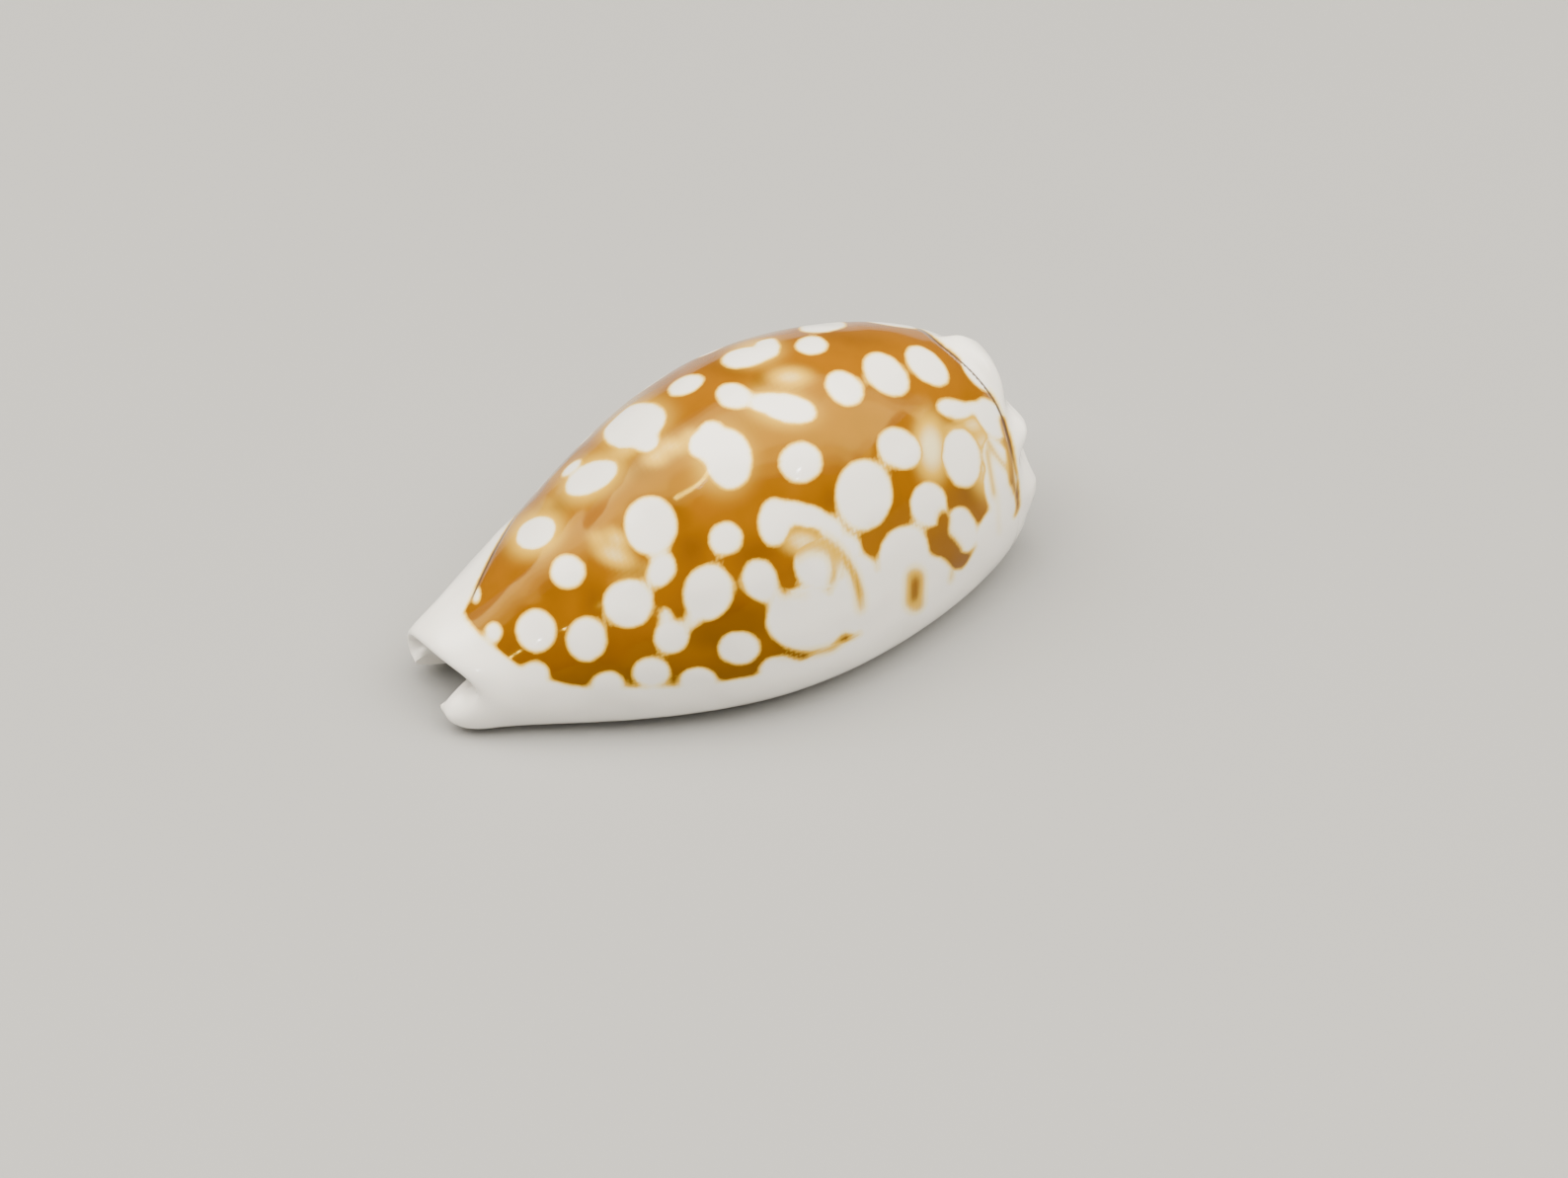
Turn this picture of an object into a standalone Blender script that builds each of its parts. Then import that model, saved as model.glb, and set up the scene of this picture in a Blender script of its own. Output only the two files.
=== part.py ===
"""Sieve cowrie shell: one hollow, thick-lipped shell that rests on the flat of its base.

The shell lies along X with its narrow front end at -X, its outer lip on the +Y side and its
columellar side on -Y. The base is at z = 0 and the domed back faces up.

The form is a smooth surface carried by a control cage. Each row of the cage is a C-shaped
section: outside it runs from the columellar lip over the back to the outer lip, inside it runs
back along the chamber wall. At both ends the outside and the inside close on each other in a
rounded rim, whose two legs reach past the roof of the canal.
"""
import math

import bmesh
import bpy
import numpy as np

MM = 0.001

# Driving dimensions. Each profile runs from the front tip to the rear tip in equal steps of the
# station angle psi, where x = -HALF_LENGTH * cos(psi).
HALF_LENGTH = 12.5 * MM
HALF_WIDTH = MM * np.array([2.35, 2.75, 4.85, 6.68, 5.9, 4.15, 2.0])
BACK_HEIGHT = MM * np.array([3.1, 4.0, 7.1, 10.7, 10.9, 8.65, 4.7])
MARGIN_HEIGHT = MM * np.array([1.45, 1.65, 1.85, 2.3, 2.6, 3.3, 3.7])
BASE_HEIGHT = MM * np.array([0.3, 0.2, 0.0, 0.0, 0.0, 0.8, 1.8])
APERTURE_Y = MM * np.array([-0.2, 0.3, 0.6, 0.7, 0.5, -0.4, -1.5])
HALF_APERTURE = MM * np.array([2.0, 0.85, 0.5, 0.42, 0.42, 0.46, 0.55])

# The chamber: the height of its crest, the thickness of its side walls, and the thickness of the
# lips along the base.
CHAMBER_HEIGHT = MM * np.array([1.9, 2.85, 6.1, 9.6, 9.6, 6.4, 3.2])
WALL_SIDE = MM * np.array([0.6, 1.2, 1.5, 1.6, 1.7, 2.2, 2.4])
LIP_DEPTH = MM * np.array([1.0, 1.55, 2.1, 2.3, 2.3, 2.0, 1.5])

# Where the cage points of one side of a section stand: on the lip's face, along the base, up the
# margin, on the quarter arch of the back, along the chamber's floor and up its wall. A pair of
# shares gives the way out and the way up.
LIP_FACE = 0.9 * MM
LIP_STEP = 0.6 * MM
LIP_STEP_SHARE = 0.3
BASE_SHARES = (0.52, 0.84)
MARGIN_SHARES = ((1.01, 0.42), (1.045, 0.04))
ARCH_ANGLES = (math.radians(30.0), math.radians(60.0))
FULLNESS = 1.047
FACE_SHARE = 0.45
CHAMBER_CORNER = 0.15 * MM
FLOOR_SHARES = ((0.45, 0.0), (0.82, 0.04))
WALL_SHARES = ((1.0, 0.16), (1.03, 0.36), (0.9, 0.68), (0.54, 0.96))
CREST_FULLNESS = 1.04
CANAL_SHARE = 1.05
CHAMBER_OPENS = 1.5 * MM

# Rims. The end angles set where the first and last full sections stand. The two legs of each
# rim then reach past the roof of the canal, the outer lip's leg and the columellar leg apart. The
# roof stands back by a share of the notch, given by the cage place from the columellar lip.
FRONT_ANGLE = 0.34
REAR_ANGLE = 0.12
FRONT_REACH = {"columellar": 0.9 * MM, "labral": 0.9 * MM}
REAR_REACH = {"columellar": 0.55 * MM, "labral": 0.15 * MM}
FRONT_LIFT = {"columellar": 0.0, "labral": 0.35 * MM}
FRONT_NOTCH = 2.0 * MM
FRONT_FADE = 3.5 * MM
FRONT_ROOF = {4.0: 0.0, 5.0: 0.35, 6.0: 0.7, 7.0: 0.55, 8.0: 0.25, 9.0: 0.08, 10.0: 0.0}
REAR_NOTCH = 0.9 * MM
REAR_FADE = 0.9 * MM
REAR_ROOF = {4.0: 0.0, 5.0: 0.15, 7.0: 0.65, 9.0: 1.0, 11.0: 0.65, 13.0: 0.15, 14.0: 0.0}

# The callus: how high it reaches along the outer lip's margin and how far it swells out there, how
# wide its edge and its band are, and how many cage steps past the crest it starts. It passes round
# the rear and the front end as a collar. The rear collar's swell is given by height in equal steps,
# with a waist where it is negative.
CALLUS_TOP = MM * np.array([2.9, 3.1, 3.3, 3.6, 4.0, 4.8, 5.0])
CALLUS_SWELL = MM * np.array([0.25, 0.25, 0.12, 0.28, 0.42, 0.5, 0.4])
CALLUS_RISE = 1.1 * MM
CALLUS_BAND = 1.3 * MM
CALLUS_FROM_CREST = {"from": 0.9, "run": 1.4}
CALLUS_FADE = 2.4 * MM
COLLAR_SWELL = MM * np.array([0.2, -0.05, -0.15, 0.34, 0.0, 0.3, 0.57, 0.48, 0.4])
COLLAR_HEIGHTS = {"lowest": 4.0 * MM, "highest": 10.0 * MM}
REAR_COLLAR_X = 11.05 * MM
REAR_COLLAR_STEP = {"depth": 1.45 * MM, "from_y": -2.6 * MM, "run": 3.2 * MM}
REAR_COLLAR_TURN = {"from_y": 2.2 * MM, "slope": 1.3}
REAR_COLLAR_FADE = {"from_y": 0.2 * MM, "run": 0.9 * MM}
REAR_COLLAR_END = {"y": -3.0 * MM, "z": 2.2 * MM, "run": 1.5 * MM}
FRONT_COLLAR_X = -10.85 * MM
FRONT_COLLAR_SLOPE = 1.1
COLUMELLAR_DROP = 4.0 * MM
COLLAR_BLEND = {"rear": 1.2 * MM, "front": 0.8 * MM}

# Teeth along both lips. Their reach is in steps of the cage.
TOOTH_PITCH = 1.15 * MM
TOOTH_HEIGHT = 0.17 * MM
TOOTH_SPAN = 10.6 * MM
TOOTH_FADE = 0.6 * MM
TOOTH_REACH_IN = 1.3
TOOTH_REACH_OUT = 1.4
TOOTH_RUN_OUT = 0.9

# Mesh density: cage rows, points around a cage row and the steps between them in the mesh. Relief
# fades out over the last steps before a rim, and the base has none of the callus.
CAGE_ROWS = 17
CAGE_POINTS = 36
HALF = CAGE_POINTS // 2
CREST = HALF // 2
HALF_PLACES = [0.0, 0.4, 0.8, 1.2, 1.7, 2.3, 3.0, 3.9, 4.7,
               5.2, 5.7, 6.15, 6.6, 7.05, 7.5, 8.0, 8.5, 9.0]
ROWS_PER_TOOTH = 3
RIM_ROWS = 7
RIM_CROWDING = 1.3
RELIEF_FADE = 0.9
BASE_STEPS = 3.0
WELD = 0.001 * MM


def profile(values, t):
    """A natural cubic spline through equally spaced values, read at t from 0 to 1."""
    count = len(values) - 1
    bend = np.zeros(count + 1)
    matrix = 4.0 * np.eye(count - 1) + np.eye(count - 1, k=1) + np.eye(count - 1, k=-1)
    bend[1:-1] = np.linalg.solve(matrix, 6.0 * np.diff(values, 2))
    place = np.clip(t, 0.0, 1.0) * count
    step = np.minimum(np.floor(place).astype(int), count - 1)
    f = place - step
    g = 1.0 - f
    line = g * values[step] + f * values[step + 1]
    return line + ((g ** 3 - g) * bend[step] + (f ** 3 - f) * bend[step + 1]) / 6.0


def smooth_step(t):
    """0 below 0, 1 above 1, with level ends."""
    t = np.clip(t, 0.0, 1.0)
    return t * t * (3.0 - 2.0 * t)


def smooth_max(a, b, reach):
    """The greater of two values, rounded where they are within reach of each other."""
    mix = np.clip(0.5 + 0.5 * (a - b) / reach, 0.0, 1.0)
    return b * (1.0 - mix) + a * mix + reach * mix * (1.0 - mix)


def station(points):
    """The station of each point, from 0 at the front tip to 1 at the rear tip."""
    return np.arccos(np.clip(-points[..., 0] / HALF_LENGTH, -1.0, 1.0)) / math.pi


def outer_side(side, lip, width, margin, base, back):
    """Nine outside points of a section, from the lip's inner face to beside the crest."""
    edge = side * width
    run = edge - lip
    rise = back - margin
    step = side * min(LIP_STEP, LIP_STEP_SHARE * abs(run))
    points = [(lip, base + LIP_FACE), (lip, base), (lip + step, base)]
    points += [(lip + share * run, base) for share in BASE_SHARES]
    (low_out, low_up), (high_out, high_up) = MARGIN_SHARES
    points.append((low_out * edge, base + low_up * (margin - base)))
    points.append((high_out * edge, margin + high_up * rise))
    for angle in ARCH_ANGLES:
        points.append((FULLNESS * math.cos(angle) * edge, margin + FULLNESS * math.sin(angle) * rise))
    return points


def inner_side(side, lip, width, floor, crest, open_share, base, middle):
    """Eight points of the chamber wall, from the lip's inner face to beside the crest."""
    run = middle + side * width - lip
    rise = crest - floor
    face = base + LIP_FACE
    points = [(lip, face + FACE_SHARE * (floor - face)), (lip + side * open_share * CHAMBER_CORNER, floor)]
    points += [(lip + out * run, floor + up * rise) for out, up in FLOOR_SHARES]
    points += [(middle + out * side * width, floor + up * rise) for out, up in WALL_SHARES]
    return points


def section(psi):
    """One C-shaped section of the cage at a station angle, as CAGE_POINTS rows of y and z."""
    t = psi / math.pi
    width = profile(HALF_WIDTH, t)
    back = profile(BACK_HEIGHT, t)
    margin = profile(MARGIN_HEIGHT, t)
    base = max(profile(BASE_HEIGHT, t), 0.0)
    middle = profile(APERTURE_Y, t)
    gap = profile(HALF_APERTURE, t)
    floor = base + profile(LIP_DEPTH, t)
    crest = profile(CHAMBER_HEIGHT, t)
    chamber = max(width - profile(WALL_SIDE, t), CANAL_SHARE * gap)
    open_share = float(np.clip((chamber - gap) / CHAMBER_OPENS, 0.0, 1.0))
    chamber_middle = middle * (1.0 - open_share)
    points = np.zeros((CAGE_POINTS, 2))
    for side in (-1, 1):
        lip = middle + side * gap
        outside = outer_side(side, lip, width, margin, base, back)
        inside = inner_side(side, lip, chamber, floor, crest, open_share, base, chamber_middle)
        for step, point in enumerate(outside):
            points[step if side < 0 else HALF - step] = point
        for step, point in enumerate(inside, 1):
            points[-step if side < 0 else HALF + step] = point
    points[CREST] = (0.0, margin + FULLNESS * (back - margin))
    points[HALF + CREST] = (chamber_middle, floor + CREST_FULLNESS * (crest - floor))
    return points


def roof_share(shares):
    """How much each point of a section belongs to the roof of an end canal, from 0 to 1."""
    index = np.arange(CAGE_POINTS)
    return np.interp(np.minimum(index, CAGE_POINTS - index), list(shares), list(shares.values()))


def labral_share():
    """For each cage point 0 on the columellar side, 1 on the outer lip's side, blended at the crest."""
    index = np.arange(CAGE_POINTS)
    return smooth_step(2.0 * np.minimum(index, CAGE_POINTS - index) / HALF - 0.5)


def full_row(psi):
    """One full row of the cage, whose roof stands back from its legs near the rims."""
    front_roof = roof_share(FRONT_ROOF)
    rear_roof = roof_share(REAR_ROOF)
    labral = labral_share()
    row = np.zeros((CAGE_POINTS, 3))
    for index in range(CAGE_POINTS):
        x = -HALF_LENGTH * math.cos(psi)
        front = 1.0 - smooth_step((x + HALF_LENGTH) / FRONT_FADE)
        rear = 1.0 - smooth_step((HALF_LENGTH - x) / REAR_FADE)
        x += FRONT_NOTCH * front_roof[index] * front - REAR_NOTCH * rear_roof[index] * rear
        row[index, 0] = x
        row[index, 1:] = section(math.acos(-x / HALF_LENGTH))[index]
        under = 1.0 - smooth_step(row[index, 2] / BACK_HEIGHT[0])
        lift = FRONT_LIFT["columellar"] + labral[index] * (FRONT_LIFT["labral"] - FRONT_LIFT["columellar"])
        row[index, 2] += lift * front * under
    return row


def rim_row(row, reach, way):
    """The middle line of a rim: halfway between outside and inside, pushed out by its reach."""
    pair = (-np.arange(CAGE_POINTS)) % CAGE_POINTS
    rim = 0.5 * (row + row[pair])
    rim[:, 0] += way * (reach["columellar"] + labral_share() * (reach["labral"] - reach["columellar"]))
    return rim


def cage_rows():
    """All rows of the cage, with a mirrored row past each rim that rounds it."""
    pair = (-np.arange(CAGE_POINTS)) % CAGE_POINTS
    rows = [full_row(psi) for psi in np.linspace(FRONT_ANGLE, math.pi - REAR_ANGLE, CAGE_ROWS)]
    front = rim_row(rows[0], FRONT_REACH, -1.0)
    rear = rim_row(rows[-1], REAR_REACH, 1.0)
    return np.array([rows[0][pair], front, *rows, rear, rows[-1][pair]])


def blend_weights(f):
    """The four weights of the uniform cubic B-spline at the fraction f of a step."""
    g = 1.0 - f
    return np.stack([g ** 3, 3.0 * f ** 3 - 6.0 * f ** 2 + 4.0,
                     3.0 * g ** 3 - 6.0 * g ** 2 + 4.0, f ** 3], -1) / 6.0


def cage_surface(cage, along, around):
    """The smooth surface of the cage at the given places along and around it."""
    last = len(cage) - 4
    row = np.minimum(np.floor(along).astype(int), last)
    row_weights = blend_weights(along - row)
    strips = sum(row_weights[:, k, None, None] * cage[row + k] for k in range(4))
    column = np.floor(around).astype(int)
    column_weights = blend_weights(around - column)
    picked = [strips[:, (column + k - 1) % CAGE_POINTS] for k in range(4)]
    return sum(column_weights[None, :, k, None] * picked[k] for k in range(4))


def surface_normals(points):
    """Unit normals of the grid of points, pointing out of the shell's wall."""
    along = np.gradient(points, axis=0)
    wrapped = np.concatenate([points[:, -2:-1], points, points[:, 1:2]], axis=1)
    around = 0.5 * (wrapped[:, 2:] - wrapped[:, :-2])
    normal = np.cross(along, around)
    return normal / np.linalg.norm(normal, axis=-1, keepdims=True)


def rear_collar(points):
    """How far each point lies behind the rear collar's edge, which runs forward over the back."""
    y = points[..., 1]
    step = REAR_COLLAR_STEP
    edge = REAR_COLLAR_X - step["depth"] * smooth_step((y - step["from_y"]) / step["run"])
    edge = edge - REAR_COLLAR_TURN["slope"] * np.maximum(y - REAR_COLLAR_TURN["from_y"], 0.0)
    return points[..., 0] - edge


def front_collar(points):
    """How far each point lies in front of the front collar's edge."""
    return FRONT_COLLAR_X + FRONT_COLLAR_SLOPE * np.maximum(points[..., 1], 0.0) - points[..., 0]


def callus_reach(points, around):
    """How deep each point lies inside the callus, negative outside it."""
    labral = smooth_step(around - CREST)
    side = profile(CALLUS_TOP, station(points)) - points[..., 2] - COLUMELLAR_DROP * (1.0 - labral)
    reach = smooth_max(side, rear_collar(points), COLLAR_BLEND["rear"])
    return smooth_max(reach, front_collar(points), COLLAR_BLEND["front"])


def callus_relief(points, around):
    """Outward push of the callus."""
    reach = callus_reach(points, around)
    start = CALLUS_FROM_CREST
    labral = smooth_step((around - CREST - start["from"]) / start["run"])
    band = smooth_step(reach / CALLUS_RISE) * (1.0 - smooth_step((reach - CALLUS_BAND) / CALLUS_FADE))
    side = profile(CALLUS_SWELL, station(points)) * labral * band
    low = COLLAR_HEIGHTS["lowest"]
    climb = (points[..., 2] - low) / (COLLAR_HEIGHTS["highest"] - low)
    collar = profile(COLLAR_SWELL, climb) * smooth_step(rear_collar(points) / CALLUS_RISE)
    end = REAR_COLLAR_END
    collar = collar * (1.0 - smooth_step((end["y"] - points[..., 1]) / end["run"]))
    collar = collar * smooth_step((points[..., 2] - end["z"]) / end["run"])
    fade = REAR_COLLAR_FADE
    collar = collar * (1.0 - smooth_step((points[..., 1] - fade["from_y"]) / fade["run"]))
    outside = smooth_step(around - BASE_STEPS) * smooth_step(HALF - BASE_STEPS - around)
    return outside * np.where(collar > 0.0, np.maximum(side, collar), side + collar)


def tooth_relief(points, around):
    """Ridges across both lips, which fade out on the base and inside the aperture."""
    from_lip = np.minimum(around, CAGE_POINTS - around)
    lip_distance = np.minimum(from_lip, HALF - from_lip)
    reach = np.where(around > HALF, 1.0 - smooth_step(lip_distance / TOOTH_REACH_IN),
                     1.0 - smooth_step((lip_distance - TOOTH_REACH_OUT) / TOOTH_RUN_OUT))
    half_step = np.where(from_lip > CREST, 0.5, 0.0)
    x = points[..., 0]
    wave = 0.5 + 0.5 * np.cos(2.0 * math.pi * (x / TOOTH_PITCH + half_step))
    along = 1.0 - smooth_step((np.abs(x) - TOOTH_SPAN) / TOOTH_FADE)
    return TOOTH_HEIGHT * reach * along * (wave - 1.0)


def shell_points(along, around):
    """The finished surface of the shell on a grid of places along and around the cage."""
    cage = cage_rows()
    points = cage_surface(cage, along, around)
    relief = callus_relief(points, around) + tooth_relief(points, around)
    from_rim = np.minimum(along, len(cage) - 3.0 - along)
    relief *= smooth_step(from_rim / RELIEF_FADE)[:, None]
    points = points + surface_normals(points) * relief[..., None]
    points[..., 2] = np.maximum(points[..., 2], 0.0)
    middle = 0.5 * (points.min(axis=(0, 1)) + points.max(axis=(0, 1)))
    return points - middle * np.array([1.0, 1.0, 0.0])


def places_around():
    """Places around a section, closest at the lips, from the columellar lip and back to it."""
    half = np.array(HALF_PLACES)
    outside = np.concatenate([half, HALF - half[-2::-1]])
    return np.concatenate([outside, HALF + outside[1:]])


def places_along(cage):
    """Places along the shell: a few for each rim, then a fixed number for each tooth."""
    dense = np.linspace(0.0, len(cage) - 3.0, 400)
    lip_x = cage_surface(cage, dense, np.array([1.0]))[:, 0, 0]
    step = TOOTH_PITCH / ROWS_PER_TOOTH
    reach = math.floor(TOOTH_SPAN / step)
    body = np.interp(step * np.arange(-reach, reach + 1), lip_x, dense)
    share = np.linspace(0.0, 1.0, RIM_ROWS) ** RIM_CROWDING
    front = share * body[0]
    rear = dense[-1] - share * (dense[-1] - body[-1])
    return np.concatenate([front[:-1], body, rear[-2::-1]])


def shell_mesh():
    """The shell as one closed mesh: a grid laid over the surface, with its edges welded."""
    along = places_along(cage_rows())
    around = places_around()
    points = shell_points(along, around)
    mesh = bpy.data.meshes.new("shell")
    form = bmesh.new()
    bmesh.ops.create_grid(form, x_segments=len(around) - 1, y_segments=len(along) - 1, size=HALF_LENGTH)
    for vertex, place in zip(form.verts, points.reshape(-1, 3)):
        vertex.co = place
    bmesh.ops.remove_doubles(form, verts=form.verts, dist=WELD)
    bmesh.ops.recalc_face_normals(form, faces=form.faces)
    form.to_mesh(mesh)
    form.free()
    mesh.shade_smooth()
    return mesh


def shell_material():
    """Glossy caramel enamel, the colour that covers most of the back."""
    material = bpy.data.materials.new("glossy_enamel")
    material.use_nodes = True
    shader = material.node_tree.nodes["Principled BSDF"]
    shader.inputs["Base Color"].default_value = (0.58, 0.25, 0.03, 1.0)
    shader.inputs["Roughness"].default_value = 0.12
    shader.inputs["Metallic"].default_value = 0.0
    return material


def main():
    """Clear the scene and build the shell."""
    for item in list(bpy.data.objects):
        bpy.data.objects.remove(item, do_unlink=True)
    mesh = shell_mesh()
    mesh.materials.append(shell_material())
    shell = bpy.data.objects.new("shell", mesh)
    bpy.context.scene.collection.objects.link(shell)


if __name__ == "__main__":
    main()
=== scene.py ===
"""A sieve cowrie shell on a pale studio floor.

The shell is one piece: a fine mesh laid over a smooth surface that a control cage carries, with a
procedural enamel. Its front end points to -X, its outer lip is on the +Y side, and it rests on z = 0.
"""
import math

import bmesh
import bpy
import numpy as np
from bpy.props import FloatProperty, FloatVectorProperty, PointerProperty
from mathutils import Matrix, Vector


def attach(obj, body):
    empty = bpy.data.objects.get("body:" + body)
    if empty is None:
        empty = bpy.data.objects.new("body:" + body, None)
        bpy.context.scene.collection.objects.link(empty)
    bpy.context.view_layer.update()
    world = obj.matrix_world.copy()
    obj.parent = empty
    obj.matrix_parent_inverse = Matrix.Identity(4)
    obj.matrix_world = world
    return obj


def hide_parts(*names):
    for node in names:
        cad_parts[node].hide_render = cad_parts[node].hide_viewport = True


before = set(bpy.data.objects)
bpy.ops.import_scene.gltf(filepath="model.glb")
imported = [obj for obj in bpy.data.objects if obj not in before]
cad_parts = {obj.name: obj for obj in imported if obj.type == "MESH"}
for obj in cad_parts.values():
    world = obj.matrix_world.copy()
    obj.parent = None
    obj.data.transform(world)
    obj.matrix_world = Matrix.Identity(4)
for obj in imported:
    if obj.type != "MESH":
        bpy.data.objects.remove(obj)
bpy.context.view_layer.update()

bl_info = {
    "name": "Sieve cowrie shell",
    "version": (1, 0, 0),
    "blender": (4, 5, 0),
    "location": "3D View > Sidebar > Cowrie",
    "description": "A glossy cowrie shell with white spots, and a studio to show it in",
    "category": "Add Mesh",
}

MM = 0.001
TINY = 1e-6

# The form of the shell. Each profile runs from the front tip to the rear tip in equal steps of the
# station angle psi, where x = -HALF_LENGTH * cos(psi).
HALF_LENGTH = 12.5 * MM
HALF_WIDTH = MM * np.array([2.35, 2.75, 4.85, 6.68, 5.9, 4.15, 2.0])
BACK_HEIGHT = MM * np.array([3.1, 4.0, 7.1, 10.7, 10.9, 8.65, 4.7])
MARGIN_HEIGHT = MM * np.array([1.45, 1.65, 1.85, 2.3, 2.6, 3.3, 3.7])
BASE_HEIGHT = MM * np.array([0.3, 0.2, 0.0, 0.0, 0.0, 0.8, 1.8])
APERTURE_Y = MM * np.array([-0.2, 0.3, 0.6, 0.7, 0.5, -0.4, -1.5])
HALF_APERTURE = MM * np.array([2.0, 0.85, 0.5, 0.42, 0.42, 0.46, 0.55])

# The chamber: the height of its crest, the thickness of its side walls, and the thickness of the
# lips along the base.
CHAMBER_HEIGHT = MM * np.array([1.9, 2.85, 6.1, 9.6, 9.6, 6.4, 3.2])
WALL_SIDE = MM * np.array([0.6, 1.2, 1.5, 1.6, 1.7, 2.2, 2.4])
LIP_DEPTH = MM * np.array([1.0, 1.55, 2.1, 2.3, 2.3, 2.0, 1.5])

# Where the cage points of one side of a section stand: on the lip's face, along the base, up the
# margin, on the quarter arch of the back, along the chamber's floor and up its wall. A pair of
# shares gives the way out and the way up.
LIP_FACE = 0.9 * MM
LIP_STEP = 0.6 * MM
LIP_STEP_SHARE = 0.3
BASE_SHARES = (0.52, 0.84)
MARGIN_SHARES = ((1.01, 0.42), (1.045, 0.04))
ARCH_ANGLES = (math.radians(30.0), math.radians(60.0))
FULLNESS = 1.047
FACE_SHARE = 0.45
CHAMBER_CORNER = 0.15 * MM
FLOOR_SHARES = ((0.45, 0.0), (0.82, 0.04))
WALL_SHARES = ((1.0, 0.16), (1.03, 0.36), (0.9, 0.68), (0.54, 0.96))
CREST_FULLNESS = 1.04
CANAL_SHARE = 1.05
CHAMBER_OPENS = 1.5 * MM

# Rims. The end angles set where the first and last full sections stand. The two legs of each
# rim then reach past the roof of the canal, the outer lip's leg and the columellar leg apart. The
# roof stands back by a share of the notch, given by the cage place from the columellar lip.
FRONT_ANGLE = 0.34
REAR_ANGLE = 0.12
FRONT_REACH = {"columellar": 0.9 * MM, "labral": 0.9 * MM}
REAR_REACH = {"columellar": 0.55 * MM, "labral": 0.15 * MM}
FRONT_LIFT = {"columellar": 0.0, "labral": 0.35 * MM}
FRONT_NOTCH = 2.0 * MM
FRONT_FADE = 3.5 * MM
FRONT_ROOF = {4.0: 0.0, 5.0: 0.35, 6.0: 0.7, 7.0: 0.55, 8.0: 0.25, 9.0: 0.08, 10.0: 0.0}
REAR_NOTCH = 0.9 * MM
REAR_FADE = 0.9 * MM
REAR_ROOF = {4.0: 0.0, 5.0: 0.15, 7.0: 0.65, 9.0: 1.0, 11.0: 0.65, 13.0: 0.15, 14.0: 0.0}

# The callus: how high it reaches along the outer lip's margin and how far it swells out there, how
# wide its edge and its band are, and how many cage steps past the crest it starts. It passes round
# the rear and the front end as a collar. The rear collar's swell is given by height in equal steps,
# with a waist where it is negative.
CALLUS_TOP = MM * np.array([2.9, 3.1, 3.3, 3.6, 4.0, 4.8, 5.0])
CALLUS_SWELL = MM * np.array([0.25, 0.25, 0.12, 0.28, 0.42, 0.5, 0.4])
CALLUS_RISE = 0.75 * MM
CALLUS_BAND = 1.3 * MM
CALLUS_FROM_CREST = {"from": 0.9, "run": 1.4}
CALLUS_FADE = 2.4 * MM
COLLAR_SWELL = MM * np.array([0.2, -0.05, -0.15, 0.34, 0.0, 0.3, 0.57, 0.48, 0.4])
COLLAR_HEIGHTS = {"lowest": 4.0 * MM, "highest": 10.0 * MM}
REAR_COLLAR_X = 11.05 * MM
REAR_COLLAR_STEP = {"depth": 1.45 * MM, "from_y": -2.6 * MM, "run": 3.2 * MM}
REAR_COLLAR_TURN = {"from_y": 2.2 * MM, "slope": 1.3}
REAR_COLLAR_FADE = {"from_y": 0.2 * MM, "run": 0.9 * MM}
REAR_COLLAR_END = {"y": -3.0 * MM, "z": 2.2 * MM, "run": 1.5 * MM}
FRONT_COLLAR_X = -10.85 * MM
FRONT_COLLAR_SLOPE = 1.1
COLUMELLAR_DROP = 4.0 * MM
COLLAR_BLEND = {"rear": 1.2 * MM, "front": 0.8 * MM}

# The thin groove just outside the callus: how many cage steps from the base it ends, and where it
# ends towards the front, on the outer lip's side.
GROOVE_FROM_BASE = 1.0
GROOVE_FRONT = {"y": 0.1 * MM, "run": 0.5 * MM}

# Teeth along both lips. Their reach is in steps of the cage.
TOOTH_PITCH = 1.15 * MM
TOOTH_SPAN = 10.6 * MM
TOOTH_FADE = 0.6 * MM
TOOTH_REACH_IN = 1.3
TOOTH_REACH_OUT = 1.4
TOOTH_RUN_OUT = 0.9

# The control cage and the fine mesh over it: the rows, the columns between places around half a
# section, and the steps over which relief fades out at a rim and on the base.
CAGE_ROWS = 17
CAGE_POINTS = 36
HALF = CAGE_POINTS // 2
CREST = HALF // 2
MESH_ROWS = 206
COLUMN_RUNS = [(0.0, 3.0, 26), (3.0, 5.0, 18), (5.0, 13.5, 150), (13.5, 15.0, 14), (15.0, 18.0, 26)]
RELIEF_FADE = 0.9
BASE_STEPS = 3.0
WELD = 0.001 * MM

# The camera stands where the photograph was taken from. Pixels are those of its 1588 x 1193 frame.
PHOTO_WIDTH = 1588
PHOTO_HEIGHT = 1193
SENSOR = 36.0
LENS = 83.0
CAMERA_AZIMUTH = math.radians(-27.0)
CAMERA_ELEVATION = math.radians(45.3)
CAMERA_DISTANCE = 0.14
LOOK_AT = MM * np.array([1.32, -2.67, 2.24])

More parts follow.
